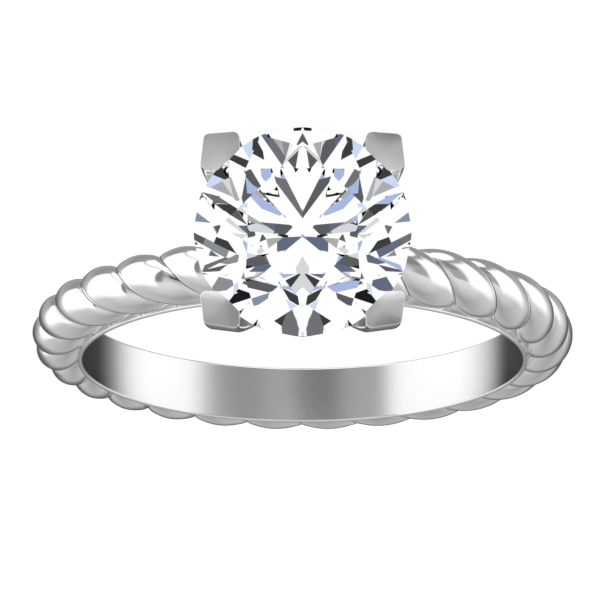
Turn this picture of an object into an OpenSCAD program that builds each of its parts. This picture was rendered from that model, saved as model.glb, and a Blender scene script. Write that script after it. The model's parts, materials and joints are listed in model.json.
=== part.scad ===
// Solitaire ring lying on its side: a two-wire rope shank round a thin inner band,
// a four-claw tulip head soldered on it, and one round brilliant stone.
// Everything is drawn about the finger hole first: x to the side, y along the finger,
// z through the stone. lying() then turns it onto its side as it rests on a table.

/* [Inner band] */
// Inside diameter, where the finger goes
inside_d = 16.5; // [15.5:0.1:18.5]
// Width of the band along the finger
band_w = 2.12; // [2:0.02:2.3]
// Thickness of the band
band_t = 0.2; // [0.16:0.02:0.28]

/* [Rope] */
// Radius of each of the two fused wires
wire_r = 0.915; // [0.88:0.005:0.95]
// How far each wire's centre lies from the middle of the rope
wire_off = 0.175; // [0.1:0.005:0.24]
// Height of the middle of the rope over the finger hole's wall
rope_lift = 0.8; // [0.72:0.02:0.86]
// Turns of the rope round the whole ring, two lobes each
rope_turns = 14; // [12:1:16]
// Lobes under the head, where the lay is a little tighter
head_lobes = 5; // [3:1:7]
// Arc of the ring that those lobes fill, in degrees
head_arc = 62.3; // [56:0.1:70]
// How far the lay is turned round the ring, in degrees
lay_shift = 1.3; // [-6:0.1:6]

/* [Stone] */
// Diameter at the girdle
stone_d = 8.06; // [7.8:0.02:8.3]
// Table width as a share of the diameter
table_share = 0.547; // [0.53:0.001:0.6]
// Angle of the crown's main facets, in degrees
crown_angle = 37.4; // [35:0.1:38]
// Angle of the pavilion's main facets, in degrees
pavilion_angle = 41.8; // [40:0.1:43]
// Girdle thickness at the tips of the main facets
girdle_t = 0.08; // [0.06:0.01:0.2]
// How far the star facets reach from the table to the girdle
star_share = 0.486; // [0.4:0.002:0.6]
// How far the lower half facets reach from the girdle to the culet
lower_share = 0.784; // [0.7:0.002:0.85]
// Height of the girdle's middle over the middle of the finger hole
girdle_h = 13.72; // [13.6:0.01:14]
// Clearance between the stone and its seat
seat_gap = 0.03; // [0.02:0.01:0.05]

/* [Head] */
// Height of the claw tops over the middle of the finger hole
claw_top = 14.12; // [14.05:0.01:14.3]
// Distance from the middle plane to the near faces of a claw
claw_in = 2.33; // [2.2:0.01:2.45]
// Distance from the middle plane to the far corner of a claw
claw_out = 3.66; // [3.55:0.01:3.75]
// Same to the far faces where they meet the near ones, a little bulged
claw_bulge = 3.82; // [3.7:0.01:3.9]
// Radius round the stone's axis to which the claw tips cover the crown
claw_reach = 3.84; // [3.7:0.01:3.9]
// How far a claw leans in toward the axis at its foot
claw_lean = 2.2; // [2:0.05:2.4]
// Radius of the cup that joins the claws, at its rim
cup_r = 2.15; // [2:0.05:2.3]
// Radius of the cup's foot on the rope
foot_r = 1.12; // [1.05:0.01:1.2]

/* [Hidden] */
bore_r = inside_d / 2;
rope_r = bore_r + rope_lift;
lobes = 2 * rope_turns;
stone_r = stone_d / 2;
white_gold = "#c9c9cb";
colourless = "#eef3fa";

// The rope's grid: rings to a lobe and points across one wire
lobe_steps = 8;
wire_points = 10;
// Inner side of the rope, buried in the middle of the band's wall
buried_r = bore_r + band_t / 2;

// Rope

// Place round the ring, in degrees, of the crease after u lobes
open_pitch = (360 - head_arc) / (lobes - head_lobes);
head_pitch = head_arc / head_lobes;
open_lobes = lobes - head_lobes;
function lay_angle(u) = lay_shift - head_arc / 2
    - open_pitch * min(u, open_lobes)
    - head_pitch * max(u - open_lobes, 0);

// Distance of the rope's surface from its middle; share runs from crease to crease
function lobe_r(share) = let(turn = (share - 0.5) * 180)
    wire_off * cos(turn) + sqrt(pow(wire_r, 2) - pow(wire_off * sin(turn), 2));

// A point of the rope at lobe count u, on the line that keeps w lobes behind the crease
function rope_point(u, w) = let(
        across = 180 * (u - w),
        r = lobe_r(w - floor(w)),
        out = max(rope_r + r * cos(across), buried_r),
        round_ring = lay_angle(u))
    [out * sin(round_ring), r * sin(across), out * cos(round_ring)];

module rope() {
    rings = lobes * lobe_steps;
    around = 2 * wire_points;
    points = [for (i = [0:rings - 1], j = [0:around - 1])
        rope_point(i / lobe_steps, j / wire_points)];
    function at(i, j) = (i % rings) * around + (j % around);
    faces = [for (i = [0:rings - 1], j = [0:around - 1])
        each [[at(i, j), at(i + 1, j + 1), at(i + 1, j)],
              [at(i, j), at(i, j + 1), at(i + 1, j + 1)]]];
    polyhedron(points, faces);
}

module inner_band() {
    rotate([90, 0, 0])
        cylinder(h = band_w, r = bore_r + band_t, center = true, $fn = 128);
}

module finger_hole() {
    rotate([90, 0, 0])
        cylinder(h = 4 * band_w, r = bore_r, center = true, $fn = 128);
}

// Stone

table_r = stone_r * table_share;
half_facet = 22.5;
star_r = table_r * cos(half_facet)
    + star_share * (stone_r - table_r * cos(half_facet));
lower_r = stone_r * (1 - lower_share);
// The halves by the girdle run on to a skirt, which the round girdle then trims off
skirt_r = 1.1 * stone_r;
crown_tan = tan(crown_angle);
pavilion_tan = tan(pavilion_angle);
girdle_half = girdle_t / 2;
table_z = girdle_half + (stone_r - table_r) * crown_tan;
star_z = girdle_half + (stone_r - star_r * cos(half_facet)) * crown_tan;
lower_z = -girdle_half - (stone_r - lower_r * cos(half_facet)) * pavilion_tan;
culet_z = -girdle_half - stone_r * pavilion_tan;
crown_skirt_z = girdle_half
    - (star_z - girdle_half) * (skirt_r - stone_r) / (stone_r - star_r);
pavilion_skirt_z = -girdle_half
    - (lower_z + girdle_half) * (skirt_r - stone_r) / (stone_r - lower_r);

function polar(r, angle, z) = [r * cos(angle), r * sin(angle), z];
function mains(r, z) = [for (k = [0:7]) polar(r, half_facet + 45 * k, z)];
function betweens(r, z) = [for (k = [0:7]) polar(r, 45 * (k + 1), z)];
function skirt(z) = [for (k = [0:15]) polar(skirt_r, half_facet * (k + 1), z)];

// Corners by tier: table, star tips, ends of the mains, skirt, and the skirt's foot
module crown_block() {
    points = concat(
        mains(table_r, table_z),
        betweens(star_r, star_z),
        mains(stone_r, girdle_half),
        skirt(crown_skirt_z),
        skirt(culet_z - 1));
    function table(k) = k % 8;
    function star(k) = 8 + (k + 8) % 8;
    function main(k) = 16 + k % 8;
    function edge(k) = 24 + k % 16;
    function foot(k) = 40 + k % 16;
    faces = concat(
        [[for (k = [7:-1:0]) table(k)]],
        [for (k = [0:7]) [table(k), table(k + 1), star(k)]],
        [for (k = [0:7]) [table(k), star(k), main(k), star(k - 1)]],
        [for (k = [0:7]) [star(k), edge(2 * k + 1), edge(2 * k), main(k)]],
        [for (k = [0:7]) [star(k), main(k + 1), edge(2 * k + 2), edge(2 * k + 1)]],
        [for (k = [0:15]) [edge(k), edge(k + 1), foot(k + 1), foot(k)]],
        [[for (k = [0:15]) foot(k)]]);
    polyhedron(points, faces);
}

// Corners by tier: culet, lower tips, ends of the mains, skirt, and the skirt's head
module pavilion_block() {
    points = concat(
        [[0, 0, culet_z]],
        betweens(lower_r, lower_z),
        mains(stone_r, -girdle_half),
        skirt(pavilion_skirt_z),
        skirt(table_z + 1));
    function lower(k) = 1 + (k + 8) % 8;
    function main(k) = 9 + k % 8;
    function edge(k) = 17 + k % 16;
    function head(k) = 33 + k % 16;
    faces = concat(
        [for (k = [0:7]) [0, lower(k - 1), main(k), lower(k)]],
        [for (k = [0:7]) [lower(k), main(k), edge(2 * k), edge(2 * k + 1)]],
        [for (k = [0:7]) [lower(k), edge(2 * k + 1), edge(2 * k + 2), main(k + 1)]],
        [for (k = [0:15]) [head(k), head(k + 1), edge(k + 1), edge(k)]],
        [[for (k = [15:-1:0]) head(k)]]);
    polyhedron(points, faces);
}

module brilliant() {
    translate([0, 0, girdle_h])
        intersection() {
            crown_block();
            pavilion_block();
            cylinder(h = 3 * stone_d, r = stone_r, center = true, $fn = 96);
        }
}

// Head

// The space that the stone and its clearance take, turned round the stone's axis
module stone_seat() {
    crown_slope = (star_z - girdle_t / 2) / (stone_r - star_r);
    wall_r = stone_r + seat_gap;
    edge_z = girdle_t / 2 + seat_gap;
    reach_z = edge_z + (wall_r - claw_reach) * crown_slope;
    above = claw_top - girdle_h + 1;
    translate([0, 0, girdle_h])
        rotate_extrude($fn = 96)
            polygon([
                [0, culet_z - 2 * seat_gap],
                [lower_r + seat_gap, lower_z - seat_gap],
                [wall_r, -edge_z],
                [wall_r, edge_z],
                [claw_reach, reach_z],
                [claw_reach, above],
                [0, above]]);
}

// Outline with round corners: each row is corner x, corner y, corner radius
corner_points = 5;
function unit(v) = v / norm(v);
function rounded(rows) = [for (i = [0:len(rows) - 1]) let(
        here = [rows[i][0], rows[i][1]],
        last = rows[(i + len(rows) - 1) % len(rows)],
        next = rows[(i + 1) % len(rows)],
        back = unit([last[0], last[1]] - here),
        ahead = unit([next[0], next[1]] - here),
        half = acos(back * ahead) / 2,
        middle = here + unit(back + ahead) * rows[i][2] / sin(half),
        from = atan2(-(back + ahead)[1], -(back + ahead)[0]))
    each [for (k = [0:corner_points - 1]) let(
            a = from + (90 - half) * (2 * k / (corner_points - 1) - 1))
        middle + rows[i][2] * [cos(a), sin(a)]]];

// A claw's outline at its top, counted round from the near corner
claw_rows = [
    [claw_in, claw_in, 0.25],
    [claw_bulge, claw_in, 0.24],
    [claw_out, claw_out, 0.26],
    [claw_in, claw_bulge, 0.24]];
claw_middle = (claw_in + claw_out) / 2;
foot_z = rope_r + 0.45;
claw_h = claw_top - foot_z;

// Sections down a claw: depth under its top, and share of its width that is left
claw_sections = [
    [0, 0.78],
    [0.02, 0.9],
    [0.07, 0.97],
    [0.16, 1],
    [0.6, 1],
    [1, 1],
    [1.4, 1],
    [1.8, 0.99],
    [2.3, 0.97],
    [2.8, 0.94],
    [3.4, 0.9],
    [claw_h, 0.84]];
function lean(depth) = claw_lean * pow(depth / claw_h, 2);

module claw() {
    outline = rounded(claw_rows);
    n = len(outline);
    m = len(claw_sections);
    middle = [claw_middle, claw_middle];
    points = [for (row = claw_sections, p = outline) let(
            q = middle + (p - middle) * row[1],
            in = lean(row[0]))
        [q[0] - in, q[1] - in, claw_top - row[0]]];
    faces = concat(
        [[for (j = [n - 1:-1:0]) j]],
        [for (i = [0:m - 2], j = [0:n - 1]) let(k = (j + 1) % n)
            each [[i * n + j, i * n + k, (i + 1) * n + k],
                  [i * n + j, (i + 1) * n + k, (i + 1) * n + j]]],
        [[for (j = [0:n - 1]) (m - 1) * n + j]]);
    polyhedron(points, faces);
}

// The cup under the stone that ties the claws to the rope
module cup() {
    rim_z = girdle_h - 2.6;
    waist_z = rope_r + 0.95;
    rotate_extrude($fn = 96)
        polygon([
            [0, rope_r],
            [foot_r, rope_r],
            [foot_r, waist_z - 0.35],
            [foot_r + 0.12, waist_z],
            [cup_r - 0.25, rim_z - 0.4],
            [cup_r, rim_z],
            [0, rim_z]]);
}

module head() {
    for (k = [0:3])
        rotate([0, 0, 90 * k])
            claw();
    cup();
}

// The ring rests on the lower edge of the stone's girdle and on the far side of its rope
rest_span = girdle_h - girdle_t / 2 + rope_r;
rope_half = wire_r + wire_off;
rest_tilt = atan(stone_r / rest_span)
    - asin(rope_half / norm([rest_span, stone_r]));
rest_drop = rope_r * sin(rest_tilt) + rope_half;
front_reach = (girdle_h + table_z) * cos(rest_tilt)
    + table_r * cos(half_facet) * sin(rest_tilt);
back_reach = rope_r * cos(rest_tilt) + rope_half;

module lying() {
    translate([0, (front_reach - back_reach) / 2, rest_drop])
        rotate([-rest_tilt, 0, 0])
            rotate([90, 180, 0])
                children();
}

module mounting() {
    color(white_gold)
        lying()
            difference() {
                union() {
                    rope();
                    inner_band();
                    head();
                }
                finger_hole();
                stone_seat();
            }
}

module stone() {
    color(colourless)
        lying()
            brilliant();
}

mounting();
stone();
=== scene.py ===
import json
import math

import bmesh
import bpy
import numpy as np
from mathutils import Matrix, Vector
from mathutils.geometry import points_in_planes


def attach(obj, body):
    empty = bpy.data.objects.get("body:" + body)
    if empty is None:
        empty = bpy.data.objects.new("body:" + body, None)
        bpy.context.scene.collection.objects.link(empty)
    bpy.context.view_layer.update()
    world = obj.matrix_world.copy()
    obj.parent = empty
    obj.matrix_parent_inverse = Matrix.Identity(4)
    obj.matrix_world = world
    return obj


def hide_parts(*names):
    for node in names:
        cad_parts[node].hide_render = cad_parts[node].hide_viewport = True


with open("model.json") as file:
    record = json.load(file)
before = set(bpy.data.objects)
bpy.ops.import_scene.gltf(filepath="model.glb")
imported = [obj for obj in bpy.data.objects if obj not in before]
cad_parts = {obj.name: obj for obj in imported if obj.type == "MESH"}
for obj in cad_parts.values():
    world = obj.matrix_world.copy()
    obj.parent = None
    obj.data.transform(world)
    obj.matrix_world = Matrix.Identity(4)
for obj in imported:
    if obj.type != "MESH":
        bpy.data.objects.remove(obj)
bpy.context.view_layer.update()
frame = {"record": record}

# How the ring lies
# The ring lies on its side, on the lower edge of its stone and the far side of its shank.
# Each piece is worked out in millimetres about the middle of the finger hole, which the
# frame's bore gives: x to the picture's right, y along the finger, z out through the stone.
MM = 0.001
bore = next(m for m in frame["record"]["mounts"] if m["name"] == "finger_bore")
along_finger = -Vector(bore["axis"]).normalized()
to_side = Vector((-1, 0, 0))
lying = Matrix((to_side, along_finger, to_side.cross(along_finger))).transposed().to_4x4()
lying.translation = bore["pos_m"]


def lay_down(points):
    """Points about the finger hole in mm, as an array of points in the frame in metres."""
    turn = np.array(lying.to_3x3())
    return np.asarray(points, float) * MM @ turn.T + np.array(lying.translation)


# Camera
# A long lens, a metre away and 16 degrees off the plane of the shank. It is rolled by half a
# turn, because the side that the photograph shows is the upper one of the lying ring.
SENSOR = 36.0
PICTURE = 600
camera_off_finger = math.radians(73.857)
camera_far = 1000.0
px_per_mm = 26.65
shift_right = -0.097
shift_up = 1.293

to_camera = Vector((0, -math.cos(camera_off_finger), math.sin(camera_off_finger)))
picture_up = Vector((0, math.sin(camera_off_finger), math.cos(camera_off_finger)))
eye = to_camera * camera_far + Vector((shift_right, 0, 0)) + picture_up * shift_up
camera_data = bpy.data.cameras.new("long_lens")
camera_data.sensor_width = SENSOR
camera_data.lens = px_per_mm * camera_far * SENSOR / PICTURE
camera_data.clip_start = 0.1
camera_data.clip_end = 10
camera = bpy.data.objects.new("camera", camera_data)
bpy.context.scene.collection.objects.link(camera)
turn = lying.to_3x3()
axes = (turn @ Vector((1, 0, 0)), turn @ picture_up, turn @ to_camera)
camera.matrix_world = Matrix(axes).transposed().to_4x4()
camera.location = lay_down([eye])[0]
bpy.context.scene.camera = camera

# Rope shank
# Two round wires of white gold, twisted and drawn until they fuse, bent round into a ring and
# soldered on the inner band. Polished and rhodium plated like the rest of the mounting.
bore_r = bore["dims"]["r_mm"]
band_t = 0.2
wire_r = 0.915
wire_off = 0.175
rope_r = bore_r + 0.8
rope_turns = 14
head_lobes = 5
head_arc = 62.3
lay_shift = 1.3
crease_depth = 0.06
crease_share = 0.14
crowding = 0.15
marks_per_mm = 9
shade_patches_per_mm = 2.5
CREASE_COLUMNS = 3
LOBE_STEPS = 32
WIRE_POINTS = 36


def hex_colour(text):
    """An sRGB hex colour as linear RGBA."""
    parts = [int(text[i:i + 2], 16) / 255 for i in (1, 3, 5)]
    return [p / 12.92 if p <= 0.04045 else ((p + 0.055) / 1.055) ** 2.4 for p in parts] + [1]


def add_node(tree, kind, links=None, **settings):
    """Adds a node. links are its inputs: a socket to join, or a plain value."""
    node = tree.nodes.new(kind)
    for name, value in settings.items():
        setattr(node, name, value)
    for name, value in (links or {}).items():
        if isinstance(value, bpy.types.NodeSocket):
            tree.links.new(value, node.inputs[name])
        else:
            node.inputs[name].default_value = value
    return node


def new_piece(name, points, faces, sharp=()):
    """A smooth mesh from points about the finger hole, with the given edges sharp."""
    mesh = bpy.data.meshes.new(name)
    mesh.from_pydata(lay_down(points).tolist(), [], [list(f) for f in faces])
    mesh.shade_smooth()
    piece = bpy.data.objects.new(name, mesh)
    bpy.context.scene.collection.objects.link(piece)
    if len(sharp):
        wanted = {tuple(sorted(e)) for e in sharp}
        for edge in mesh.edges:
            edge.use_edge_sharp = tuple(sorted(edge.vertices)) in wanted
    return piece


def white_gold():
    """14 carat white gold, polished on a felt wheel and plated with rhodium. It gives the eye
    a neutral grey mirror, very slightly broken up by fine polishing marks. The real ones are
    a few microns wide, and are drawn nine to the millimetre so that they show."""
    material = bpy.data.materials.new("rhodium_plated_white_gold")
    material.use_nodes = True
    tree = material.node_tree
    tree.nodes.clear()
    place = add_node(tree, "ShaderNodeTexCoord").outputs["Object"]
    marks = add_node(tree, "ShaderNodeTexNoise", {
        "Vector": place, "Scale": marks_per_mm / MM, "Detail": 3.0})
    rough = add_node(tree, "ShaderNodeMapRange", {
        "Value": marks.outputs["Fac"], "To Min": 0.06, "To Max": 0.1})
    bump = add_node(tree, "ShaderNodeBump", {
        "Height": marks.outputs["Fac"], "Strength": 0.02, "Distance": 0.02 * MM})
    shader = add_node(tree, "ShaderNodeBsdfPrincipled", {
        "Base Color": hex_colour("#f2f2f3"), "Metallic": 1.0,
        "Roughness": rough.outputs["Result"], "Normal": bump.outputs["Normal"]})
    add_node(tree, "ShaderNodeOutputMaterial", {"Surface": shader.outputs["BSDF"]})
    return material


metal = white_gold()


def fit_metal(piece):
    """Gives a piece of the mounting its metal and its place in the frame. The stone's rays
    pass it by, so that the facets show their own pattern and not the claws behind them."""
    piece.visible_transmission = False
    piece.data.materials.append(metal)
    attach(piece, "root")
    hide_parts("mounting")
    return piece


def lay_angle(u):
    """Place round the ring, in degrees, of the crease after u lobes."""
    open_lobes = 2 * rope_turns - head_lobes
    open_pitch = (360 - head_arc) / open_lobes
    return (lay_shift - head_arc / 2 - open_pitch * np.minimum(u, open_lobes)
            - head_arc / head_lobes * np.maximum(u - open_lobes, 0))


def lobe_radius(share):
    """Distance of the rope's surface from its middle. share is the way across one wire, from
    crease to crease."""
    across = np.radians((share - 0.5) * 180)
    wire = wire_off * np.cos(across) + np.sqrt(wire_r ** 2 - (wire_off * np.sin(across)) ** 2)
    near = np.minimum(share, 1 - share) / crease_share
    return wire - crease_depth * np.maximum(0, 1 - near) ** 2


def rope_shank():
    """Rings of points round the rope, crowded beside the two creases, which turn with it."""
    rings = 2 * rope_turns * LOBE_STEPS
    around = 2 * WIRE_POINTS
    u = (np.arange(rings) / LOBE_STEPS)[:, None]
    share = np.arange(WIRE_POINTS) / WIRE_POINTS
    share -= crowding * np.sin(2 * np.pi * share)
    w = np.concatenate([share, share + 1])[None, :]
    across = np.pi * (u - w)
    r = lobe_radius(w % 1.0)
    out = np.maximum(rope_r + r * np.cos(across), bore_r + band_t / 2)
    place = np.radians(lay_angle(u)) + 0 * w
    points = np.stack([out * np.sin(place), r * np.sin(across), out * np.cos(place)], -1)
    i, j = np.meshgrid(np.arange(rings), np.arange(around), indexing="ij")
    i2, j2 = (i + 1) % rings, (j + 1) % around
    quads = np.stack([i * around + j, i * around + j2, i2 * around + j2, i2 * around + j], -1)
    creases = [(k * around + c, (k + 1) % rings * around + c)
               for k in range(rings) for c in (0, WIRE_POINTS)]
    return new_piece("rope_shank", points.reshape(-1, 3), quads.reshape(-1, 4), creases)


def crease_shade_gold():
    """The same gold at the bottom of the creases, rougher, and darker in patches: painted shade.
    It gives the eye a thin dark line between the wires."""
    material = bpy.data.materials.new("unpolished_crease")
    material.use_nodes = True
    tree = material.node_tree
    tree.nodes.clear()
    place = add_node(tree, "ShaderNodeTexCoord").outputs["Object"]
    shade_patches = add_node(tree, "ShaderNodeTexNoise", {
        "Vector": place, "Scale": shade_patches_per_mm / MM, "Detail": 2.0})
    # Two dark greys mixed in patches: the painted shade of the crease
    colour = add_node(tree, "ShaderNodeMix", {
        0: shade_patches.outputs["Fac"], 6: hex_colour("#58585a"), 7: hex_colour("#77777a")},
        data_type="RGBA")
    shader = add_node(tree, "ShaderNodeBsdfPrincipled", {
        "Base Color": colour.outputs[2], "Metallic": 1.0, "Roughness": 0.4})
    add_node(tree, "ShaderNodeOutputMaterial", {"Surface": shader.outputs["BSDF"]})
    return material


rope = fit_metal(rope_shank())
rope.data.materials.append(crease_shade_gold())
# Faces within CREASE_COLUMNS of a crease take the darker gold: painted shade between the wires
for i, face in enumerate(rope.data.polygons):
    column = i % WIRE_POINTS
    face.material_index = int(min(column, WIRE_POINTS - 1 - column) < CREASE_COLUMNS)

# Inner band
# A thin flat strip of the same white gold, bent into a ring inside the rope and soldered to
# it, with its edges just broken, so that the twisted wires don't touch the finger.
band_w = bore["dims"]["length_mm"]
edge_break = 0.07
grain_per_mm = 0.9
EDGE_POINTS = 6
BAND_STEPS = 512


def turned(profile, steps, axis):
    """Points and quads of a closed (radius, height) profile turned about axis y or z."""
    a = np.arange(steps) * 2 * np.pi / steps
    r, h = np.array(profile).T
    ring = np.stack([r[None] * np.sin(a)[:, None], h[None] + 0 * a[:, None],
                     r[None] * np.cos(a)[:, None]], -1)
    points = ring.reshape(-1, 3)
    if axis == "z":
        points = points[:, [0, 2, 1]] * [1, -1, 1]
    n = len(profile)
    quads = [(i * n + j, (i + 1) % steps * n + j, (i + 1) % steps * n + (j + 1) % n,
              i * n + (j + 1) % n) for i in range(steps) for j in range(n)]
    return points, quads


def inner_band():
    """A flat profile with broken edges, turned about the finger. Its flats stay flat, because
    the edges at their ends are sharp."""
    half = band_w / 2
    inside, outside = bore_r, bore_r + band_t
    profile = []
    for r, h, start in ((inside, -half, 180), (outside, -half, 270),
                        (outside, half, 0), (inside, half, 90)):
        middle_r = r + edge_break * (1 if r == inside else -1)
        middle_h = h - math.copysign(edge_break, h)
        for k in range(EDGE_POINTS):
            a = math.radians(start + 90 * k / (EDGE_POINTS - 1))
            profile.append((middle_r + edge_break * math.cos(a),
                            middle_h + edge_break * math.sin(a)))
    points, quads = turned(profile, BAND_STEPS, "y")
    n = len(profile)
    flat_ends = [(i * n + j, (i + 1) % BAND_STEPS * n + j) for i in range(BAND_STEPS)
                 for j in range(n) if j % EDGE_POINTS in (0, EDGE_POINTS - 1)]
    return new_piece("inner_band", points, quads, flat_ends)


def satin_gold():
    """The same plated gold, left from the bench with a fine satin finish inside the band and
    on the claws' pads. It gives the eye soft broad bands of light. Where it is seen flatly,
    a darker copy of it is mixed in as painted shade, so that the band's two ends go dark. The
    scratches are far too fine to show, so only their unevenness is drawn, about a millimetre
    across."""
    material = bpy.data.materials.new("satin_white_gold")
    material.use_nodes = True
    tree = material.node_tree
    tree.nodes.clear()
    place = add_node(tree, "ShaderNodeTexCoord").outputs["Object"]
    grain = add_node(tree, "ShaderNodeTexNoise", {
        "Vector": place, "Scale": grain_per_mm / MM, "Detail": 2.0})
    rough = add_node(tree, "ShaderNodeMapRange", {
        "Value": grain.outputs["Fac"], "To Min": 0.24, "To Max": 0.27})
    satin = add_node(tree, "ShaderNodeBsdfPrincipled", {
        "Base Color": hex_colour("#f2f2f3"), "Metallic": 1.0,
        "Roughness": rough.outputs["Result"]})
    # A darker copy of the same gold, mixed in where the surface is seen flatly: painted shade
    painted_shade_copy = add_node(tree, "ShaderNodeBsdfPrincipled", {
        "Base Color": hex_colour("#39393b"), "Metallic": 1.0, "Roughness": 0.3})
    flatly = add_node(tree, "ShaderNodeMapRange", {
        "Value": add_node(tree, "ShaderNodeLayerWeight", {"Blend": 0.5}).outputs["Facing"],
        "From Min": 0.3, "From Max": 0.68}, interpolation_type="SMOOTHSTEP")
    shader = add_node(tree, "ShaderNodeMixShader", {
        0: flatly.outputs["Result"], 1: satin.outputs["BSDF"], 2: painted_shade_copy.outputs["BSDF"]})
    add_node(tree, "ShaderNodeOutputMaterial", {"Surface": shader.outputs["Shader"]})
    return material


satin = satin_gold()
band = fit_metal(inner_band())
# The inside of the band takes the satin gold, whose painted shade darkens its two ends
band.data.materials.append(satin)
# The last face of each step round is the inside, which closes the profile
PROFILE_FACES = 4 * EDGE_POINTS
for i, face in enumerate(band.data.polygons):
    face.material_index = int(i % PROFILE_FACES == PROFILE_FACES - 1)

# Stone
# A round brilliant, sawn and polished from one colourless crystal: flat table and crown,
# thin faceted girdle, pointed pavilion. The claws hold it by its girdle.
stone_d = 8.06
table_share = 0.547
crown_angle = 37.4
pavilion_angle = 41.8
girdle_t = 0.08
star_share = 0.486
lower_share = 0.784
girdle_h = 13.72
GIRDLE_FACETS = 96


def brilliant():
    """The round brilliant as what is left inside one plane for each facet."""
    stone_r = stone_d / 2
    half = math.radians(22.5)
    crown, pavilion = (math.tan(math.radians(a)) for a in (crown_angle, pavilion_angle))
    table_r = stone_r * table_share
    star_r = table_r * math.cos(half) + star_share * (stone_r - table_r * math.cos(half))
    lower_r = stone_r * (1 - lower_share)
    table_z = girdle_t / 2 + (stone_r - table_r) * crown
    star_z = girdle_t / 2 + (stone_r - star_r * math.cos(half)) * crown
    lower_z = -girdle_t / 2 - (stone_r - lower_r * math.cos(half)) * pavilion

    def polar(r, angle, z):
        return Vector((r * math.cos(angle), r * math.sin(angle), z))

    cuts = [(Vector((0, 0, table_z)), Vector((0, 0, 1)))]
    for k in range(8):
        main = half + 2 * half * k
        between = main + half
        star = polar(star_r, between, star_z)
        lower = polar(lower_r, between, lower_z)
        cuts.append((polar(stone_r, main, girdle_t / 2), Vector((
            math.cos(main) * crown, math.sin(main) * crown, 1))))
        cuts.append((polar(stone_r, main, -girdle_t / 2), Vector((
            math.cos(main) * pavilion, math.sin(main) * pavilion, -1))))
        left, right = polar(table_r, main, table_z), polar(table_r, main + 2 * half, table_z)
        cuts.append((star, (star - left).cross(right - left)))
        for side in (main, main + 2 * half):
            for tip, level in ((star, girdle_t / 2), (lower, -girdle_t / 2)):
                edge = polar(stone_r, side, level) - polar(stone_r, between, level)
                normal = edge.cross(tip - polar(stone_r, between, level))
                cuts.append((tip, normal * math.copysign(1, normal.z * level)))
    for k in range(GIRDLE_FACETS):
        side = polar(1, 2 * math.pi * k / GIRDLE_FACETS, 0)
        cuts.append((side * stone_r, side))
    planes = []
    for point, normal in cuts:
        normal = normal.normalized()
        planes.append((*normal, -normal.dot(point)))
    work = bmesh.new()
    for corner in points_in_planes(planes)[0]:
        work.verts.new(corner)
    bmesh.ops.remove_doubles(work, verts=work.verts[:], dist=1e-4)
    bmesh.ops.convex_hull(work, input=work.verts[:])
    bmesh.ops.dissolve_limit(work, angle_limit=math.radians(0.2), verts=work.verts[:],
                             edges=work.edges[:])
    bmesh.ops.recalc_face_normals(work, faces=work.faces[:])
    points = [v.co + Vector((0, 0, girdle_h)) for v in work.verts]
    faces = [[v.index for v in f.verts] for f in work.faces]
    work.free()
    piece = new_piece("brilliant", points, faces)
    piece.data.shade_flat()
    return piece


def diamond():
    """Colourless diamond, lapped and polished to flat facets. A facet turns a ray in the stone
    back whole when it meets it flatly, and otherwise lets it out bent. It gives the eye a hard
    bright mirror of the studio, split by the facets into white, grey, black and pale blue."""
    material = bpy.data.materials.new("colourless_diamond")
    material.use_nodes = True
    tree = material.node_tree
    tree.nodes.clear()
    turned_back = add_node(tree, "ShaderNodeMath", {
        0: add_node(tree, "ShaderNodeFresnel", {"IOR": 2.417}).outputs[0], 1: 0.5},
        operation="GREATER_THAN").outputs[0]
    let_out = add_node(tree, "ShaderNodeBsdfRefraction", {
        "Color": hex_colour("#ffffff"), "Roughness": 0.0, "IOR": 2.417})
    mirror = add_node(tree, "ShaderNodeBsdfAnisotropic", {
        "Color": hex_colour("#ffffff"), "Roughness": 0.0})
    shader = add_node(tree, "ShaderNodeMixShader", {
        0: turned_back, 1: let_out.outputs["BSDF"], 2: mirror.outputs["BSDF"]})
    add_node(tree, "ShaderNodeOutputMaterial", {"Surface": shader.outputs["Shader"]})
    return material


stone = brilliant()
stone.data.materials.append(diamond())
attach(stone, "root")
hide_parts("stone")

# Claws
# Four square claws cast with the cup under the stone, filed to a tulip shape. Their tips are
# bent over the crown and filed off flat to a fine satin with polished edges, and a cut in
# each holds the girdle.
claw_top = 14.12
claw_in = 2.33
claw_out = 3.66
claw_bulge = 3.82
claw_reach = 3.84
claw_lean = 2.2
claw_foot = rope_r + 0.45
claw_taper = 0.16
taper_from = 1.4
pad_corner = 0.24
pad_edge = 0.025
pad_rise = 0.07
pad_fall = 0.08
pad_peak = claw_out + 0.3
pad_depth = 1.2
pad_facing = 0.9
inside_edge = 0.985
outside_edge = 0.1
seat_gap = 0.03
CORNER_POINTS = 12
PAD_RINGS = 12
EDGE_RINGS = 6
LENGTH_RINGS = 32
SEAT_STEPS = 256


def rounded(rows):
    """Outline with round corners from rows of corner x, corner y and corner radius."""
    outline = []
    for i, (x, y, r) in enumerate(rows):
        here = Vector((x, y))
        back = (Vector(rows[i - 1][:2]) - here).normalized()
        ahead = (Vector(rows[(i + 1) % len(rows)][:2]) - here).normalized()
        half = back.angle(ahead) / 2
        inward = (back + ahead).normalized()
        middle = here + inward * r / math.sin(half)
        start = math.atan2(-inward.y, -inward.x)
        for k in range(CORNER_POINTS):
            a = start + (math.pi / 2 - half) * (2 * k / (CORNER_POINTS - 1) - 1)
            outline.append(middle + Vector((math.cos(a), math.sin(a))) * r)
    return np.array(outline)


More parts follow.
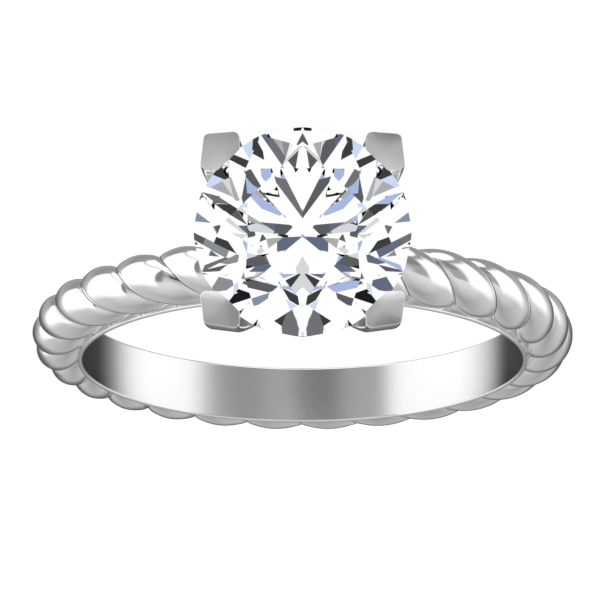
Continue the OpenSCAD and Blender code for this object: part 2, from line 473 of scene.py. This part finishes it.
def claws():
    """Four claws, each a row of outlines from the middle of its pad, over the pad's edge and
    down to its foot. A ring close to each side of the edge keeps the faces beside it flat."""
    outline = rounded([(claw_in, claw_in, pad_corner), (claw_bulge, claw_in, pad_corner),
                       (claw_out, claw_out, pad_corner), (claw_in, claw_bulge, pad_corner)])
    middle = np.array([(claw_in + claw_out) / 2] * 2)
    half_width = (claw_out - claw_in) / 2
    height = claw_top - claw_foot
    sections = []
    for share in [k / PAD_RINGS for k in range(1, PAD_RINGS)] + [inside_edge, 1]:
        sections.append((0, (1 - pad_edge / half_width) * share))
    for k in range(1, EDGE_RINGS + 1):
        a = math.radians(90 * k / EDGE_RINGS)
        sections.append((pad_edge * (1 - math.cos(a)),
                         1 - pad_edge / half_width * (1 - math.sin(a))))
    for k in [outside_edge] + list(range(1, LENGTH_RINGS + 1)):
        depth = pad_edge + (height - pad_edge) * k / LENGTH_RINGS
        narrowed = max(0, (depth - taper_from) / (height - taper_from))
        sections.append((depth, 1 - claw_taper * narrowed))
    points, faces = [], []
    for k in range(4):
        first = len(points)
        c, s = round(math.cos(k * math.pi / 2)), round(math.sin(k * math.pi / 2))
        for depth, share in sections:
            lean = claw_lean * (depth / height) ** 2
            domed = max(0, 1 - depth / pad_depth)
            for x, y in middle + (outline - middle) * share:
                fall = ((pad_peak - x) ** 2 + (pad_peak - y) ** 2) * pad_fall
                points.append((c * (x - lean) - s * (y - lean), s * (x - lean) + c * (y - lean),
                               claw_top - depth + (pad_rise - fall) * domed))
        n, m = len(outline), len(sections)
        faces += [(first + i * n + j, first + (i + 1) * n + j,
                   first + (i + 1) * n + (j + 1) % n, first + i * n + (j + 1) % n)
                  for i in range(m - 1) for j in range(n)]
        faces.append([first + j for j in range(n)])
        faces.append([first + (m - 1) * n + j for j in range(n - 1, -1, -1)])
    return new_piece("claws", points, faces)


def seat_cutter():
    """The room that the stone takes, turned round its axis, open to the front."""
    stone_r = stone_d / 2
    crown, pavilion = (math.tan(math.radians(a)) for a in (crown_angle, pavilion_angle))
    wall = stone_r + seat_gap
    edge = girdle_t / 2 + seat_gap
    inner = 0.6
    front = 2
    profile = [(inner, -edge - (wall - inner) * pavilion), (wall, -edge), (wall, edge),
               (claw_reach, edge + (wall - claw_reach) * crown), (claw_reach, front),
               (inner, front)]
    profile = [(r, h + girdle_h) for r, h in profile]
    return new_piece("seat_cutter", *turned(profile, SEAT_STEPS, "z"))


def cut_away(piece, cutter, sharp_over=28):
    """Cuts the cutter out of a piece for good, and marks the corners that it leaves."""
    cut = piece.modifiers.new("cut", "BOOLEAN")
    cut.operation, cut.object, cut.solver = "DIFFERENCE", cutter, "EXACT"
    bpy.context.view_layer.update()
    done = piece.evaluated_get(bpy.context.evaluated_depsgraph_get())
    old, piece.data = piece.data, bpy.data.meshes.new_from_object(done)
    piece.modifiers.clear()
    bpy.data.meshes.remove(old)
    bpy.data.objects.remove(cutter)
    work = bmesh.new()
    work.from_mesh(piece.data)
    for edge in work.edges:
        edge.smooth = edge.calc_face_angle(math.pi) < math.radians(sharp_over)
    work.to_mesh(piece.data)
    work.free()
    piece.data.shade_smooth()
    return piece


four_claws = fit_metal(cut_away(claws(), seat_cutter()))
# The pads take the satin gold too, with its painted shade where they are seen flatly
four_claws.data.materials.append(satin)
for face in four_claws.data.polygons:
    face.material_index = int(face.normal.dot(turn @ Vector((0, 0, 1))) > pad_facing)

# Cup
# The turned foot under the stone, cast with the claws that it ties together and soldered on
# the rope. It is out of sight in the photograph, so it is a plain one with a drilled middle.
cup_rim = girdle_h - 2.6
cup_waist = rope_r + 0.95
cup_r = 2.12
belly_r = 1.9
waist_r = 1.24
foot_r = 1.12
foot_top = cup_waist - 0.35
belly_top = cup_rim - 0.4
drilled_r = 0.9
break_h = 0.04
break_w = 0.03


def cup():
    profile = [(drilled_r, rope_r), (foot_r, rope_r), (foot_r, foot_top), (waist_r, cup_waist),
               (belly_r, belly_top), (cup_r, cup_rim - break_h), (cup_r - break_w, cup_rim),
               (drilled_r, cup_rim)]
    return new_piece("cup", *turned(profile, SEAT_STEPS, "z"))


fit_metal(cut_away(cup(), seat_cutter()))

# Floor
# A sheet of matt white acrylic, lit from below, as jewellery is photographed on. The studio
# has its own bright floor for the metal and the stone to reflect, so they pass this one by.
floor_half = 1.0


def floor_sheet():
    mesh = bpy.data.meshes.new("floor")
    corners = ((-1, -1), (1, -1), (1, 1), (-1, 1))
    mesh.from_pydata([(x * floor_half, y * floor_half, 0) for x, y in corners], [],
                     [(0, 1, 2, 3)])
    sheet = bpy.data.objects.new("floor", mesh)
    bpy.context.scene.collection.objects.link(sheet)
    material = bpy.data.materials.new("backlit_white_acrylic")
    material.use_nodes = True
    tree = material.node_tree
    tree.nodes.clear()
    shader = add_node(tree, "ShaderNodeBsdfPrincipled", {
        "Base Color": hex_colour("#808080"), "Roughness": 0.6,
        "Emission Color": hex_colour("#ffffff"), "Emission Strength": 0.9})
    add_node(tree, "ShaderNodeOutputMaterial", {"Surface": shader.outputs["BSDF"]})
    mesh.materials.append(material)
    sheet.visible_glossy = False
    sheet.visible_transmission = False
    return sheet


floor_sheet()

# Studio
# A grey room with softboxes round the camera, as a photographer of rings sets them: one to
# the left, one to the right and a long one overhead, over a bright floor. Directions are
# taken as the camera sees them, in degrees: across from the lens to the right, and up.
EYE_POWER = 2.2
floor_plain = 0.63
floor_sides = 0.2
floor_ends = 0.15
floor_front = 0.06
wall_light = 0.58
wall_from = -15.0
wall_to = 38.0
wall_curve = 1.5

world = bpy.data.worlds.new("studio")
world.use_nodes = True
bpy.context.scene.world = world
tree = world.node_tree
tree.nodes.clear()
way = add_node(tree, "ShaderNodeTexCoord").outputs["Generated"]
right_of, up_of, front_of = (
    add_node(tree, "ShaderNodeVectorMath", {0: way, 1: tuple(turn @ Vector(axis))},
             operation="DOT_PRODUCT").outputs["Value"]
    for axis in ((1, 0, 0), picture_up, to_camera))


def maths(operation, *values):
    """A sum in the world's node tree."""
    return add_node(tree, "ShaderNodeMath", dict(enumerate(values)), operation=operation).outputs[0]


across = maths("DEGREES", maths("ARCTAN2", right_of, front_of))
upward = maths("DEGREES", maths("ARCSINE", up_of))


def step(value, start, end):
    """0 before start and 1 after end, with soft ends."""
    low, high, down = (start, end, 0.0) if start < end else (end, start, 1.0)
    return add_node(tree, "ShaderNodeMapRange", {
        "Value": value, "From Min": low, "From Max": high, "To Min": down, "To Max": 1.0 - down},
        interpolation_type="SMOOTHSTEP").outputs["Result"]


def hang(light, brightness, left, right, low, high):
    """Lays a softbox or a card over the light so far. Each side says where it starts to show
    and where it is full."""
    cover = maths("MULTIPLY", maths("MULTIPLY", step(across, *left), step(across, *right)),
                  maths("MULTIPLY", step(upward, *low), step(upward, *high)))
    return add_node(tree, "ShaderNodeMix", {
        "Factor": cover, "A": light, "B": brightness}, data_type="FLOAT").outputs["Result"]


# Brightness is set as the eye has it, from 0 to 1, and turned into light at the end
floor_light = maths("MULTIPLY_ADD", front_of, floor_front, maths(
    "MULTIPLY_ADD", maths("ABSOLUTE", front_of), floor_ends, maths(
        "MULTIPLY_ADD", maths("ABSOLUTE", right_of), floor_sides, floor_plain)))
rise = add_node(tree, "ShaderNodeMapRange", {
    "Value": upward, "From Min": wall_from, "From Max": wall_to}).outputs["Result"]
light = add_node(tree, "ShaderNodeMix", {
    "Factor": maths("POWER", rise, wall_curve), "A": floor_light, "B": wall_light},
    data_type="FLOAT").outputs["Result"]

# What hangs in the room, each laid over those before it: how bright it is, then its left,
# right, lower and upper sides
HANGINGS = (
    # Grey curtain behind the ring, in two halves
    (0.39, (-181, -180), (-132, -158), (-44, -14), (22, -2)),
    (0.39, (126, 158), (181, 180), (-44, -14), (22, -2)),
    # Ceiling, and a reflector over the lens
    (0.62, (-180, -179), (180, 179), (38, 50), (91, 90)),
    (0.74, (-48, -38), (48, 38), (34, 42), (58, 54)),
    # Cards over the lens, from left to right: dark, pale and grey
    (0.3, (-26, -16), (8, -1), (20, 30), (45, 36)),
    (0.66, (2, 10), (34, 26), (20, 28), (46, 35)),
    (0.54, (18, 30), (57, 51), (14, 30), (58, 50)),
    # Cards beside the lens: a pale one on the right and a grey strip on the left
    (0.66, (18, 34), (60, 55), (-14, -4), (30, 16)),
    (0.53, (-51, -50), (-37, -42), (-10, 6), (50, 38)),
    # Softboxes: left, right and overhead
    (1.08, (-134, -124), (-49, -51), (-32, -12), (58, 54)),
    (1.08, (51, 67), (128, 108), (-34, -8), (54, 42)),
    (1.1, (-172, -150), (172, 150), (55, 61), (91, 90)),
)
for hanging in HANGINGS:
    light = hang(light, *hanging)
metal_light = maths("POWER", light, EYE_POWER)

# The stone is lit by one white tent. In front of it hang garlands of paper cards, alike on the
# left and the right but for some papers, that give the facets their greys and blues. Each row
# is how far up it hangs, its cards' height, where the first card is across, how far on the
# next one is, their width, and their papers in turn, with left/right where these differ.
PAPERS = {"black": "#1c1c1e", "charcoal": "#3d3d40", "dark": "#5c5d60", "grey": "#707175",
          "middle": "#8c8e92", "silver": "#acadb1", "pale": "#d6d7da", "white": "#ffffff",
          "slate": "#626b80", "steel": "#8390a6", "sky": "#a8b8e0", "ice": "#cddaf4"}
GARLANDS = (
    (84, 12, 120, 60, 120, ("grey",)),
    (60, 10, 45, 15, 8, ("charcoal", "grey", "silver", "middle", "black")),
    (47, 8, 60, 20, 8, ("dark", "silver", "grey", "charcoal")),
    (38, 8, 22, 60, 20, ("slate", "grey", "middle")),
    (26, 6, 16, 16, 8, ("grey/dark", "middle/grey", "silver", "charcoal")),
    (12, 4, 12, 10, 4, ("dark", "silver", "charcoal", "sky", "grey", "charcoal")),
    (3, 10, 28, 24, 7, ("grey/sky", "middle/silver", "charcoal")),
    (-10, 5, 19, 18, 8, ("dark", "silver", "dark/steel", "ice")),
    (-28, 6, 14, 22, 6, ("slate/middle", "white", "sky/dark", "charcoal")),
    (-41, 6, 28, 26, 8, ("slate/middle", "steel", "grey")),
    (-55, 8, 35, 50, 10, ("black", "grey", "charcoal")),
    (-72, 20, 45, 90, 90, ("grey/dark",)),
)
left_right = maths("ABSOLUTE", across)
on_right = maths("GREATER_THAN", right_of, 0.0)
tent = hex_colour("#ffffff")
for card_up, height, first, pitch, width, papers in GARLANDS:
    for k, paper in enumerate(papers):
        left, right = (paper.split("/") * 2)[:2]
        cover = maths("MULTIPLY", maths("COMPARE", left_right, first + k * pitch, width / 2),
                      maths("COMPARE", upward, card_up, height / 2))
        colour = add_node(tree, "ShaderNodeMix", {
            0: on_right, 6: hex_colour(PAPERS[left]), 7: hex_colour(PAPERS[right])},
            data_type="RGBA")
        tent = add_node(tree, "ShaderNodeMix", {
            0: cover, 6: tent, 7: colour.outputs[2]}, data_type="RGBA").outputs[2]

# Over them hang strings of small square cards, one string above the other, each with its
# papers one further on than the last
SMALL_PAPERS = ("black", "pale", "silver", "charcoal", "ice", "pale", "sky", "dark")
small_side = 3.5
small_pitch = 7
first_small = 4
string_rise = 10
lowest_string = -54


def count_along(way, start, pitch):
    """How many pitches along the way it is, counted from half a pitch before the start."""
    return maths("ADD", maths("DIVIDE", maths("SUBTRACT", way, start), pitch), 0.5)


strings_up = count_along(upward, lowest_string, string_rise)
cards_out = count_along(left_right, first_small, small_pitch)
paper_turn = maths("WRAP", maths("ADD", maths("FLOOR", strings_up), maths("FLOOR", cards_out)),
                   len(SMALL_PAPERS), 0)
paper = add_node(tree, "ShaderNodeValToRGB", {
    "Fac": maths("DIVIDE", maths("ADD", paper_turn, 0.5), len(SMALL_PAPERS))})
paper.color_ramp.interpolation = "CONSTANT"
for k, name in enumerate(SMALL_PAPERS):
    if k > 1:
        paper.color_ramp.elements.new(k / len(SMALL_PAPERS))
    paper.color_ramp.elements[k].position = k / len(SMALL_PAPERS)
    paper.color_ramp.elements[k].color = hex_colour(PAPERS[name])
cover = maths("MULTIPLY",
              maths("COMPARE", maths("FRACT", strings_up), 0.5, small_side / 2 / string_rise),
              maths("COMPARE", maths("FRACT", cards_out), 0.5, small_side / 2 / small_pitch))
tent = add_node(tree, "ShaderNodeMix", {
    0: cover, 6: tent, 7: paper.outputs["Color"]}, data_type="RGBA").outputs[2]

# Rays that leave the stone see the tent, the others the studio, and the camera plain white
ray = add_node(tree, "ShaderNodeLightPath")
light = add_node(tree, "ShaderNodeMix", {
    0: ray.outputs["Is Transmission Ray"], 6: metal_light, 7: tent},
    data_type="RGBA").outputs[2]
light = add_node(tree, "ShaderNodeMix", {
    0: ray.outputs["Is Camera Ray"], 6: light, 7: hex_colour("#ffffff")},
    data_type="RGBA").outputs[2]
sky = add_node(tree, "ShaderNodeBackground", {"Color": light, "Strength": 1.0})
add_node(tree, "ShaderNodeOutputWorld", {"Surface": sky.outputs["Background"]})
bpy.context.scene.view_settings.view_transform = "Standard"

# Light may be turned back many times in the stone before it gets out
STONE_BOUNCES = 16
bpy.context.scene.cycles.max_bounces = STONE_BOUNCES
bpy.context.scene.cycles.glossy_bounces = STONE_BOUNCES
bpy.context.scene.cycles.transmission_bounces = STONE_BOUNCES
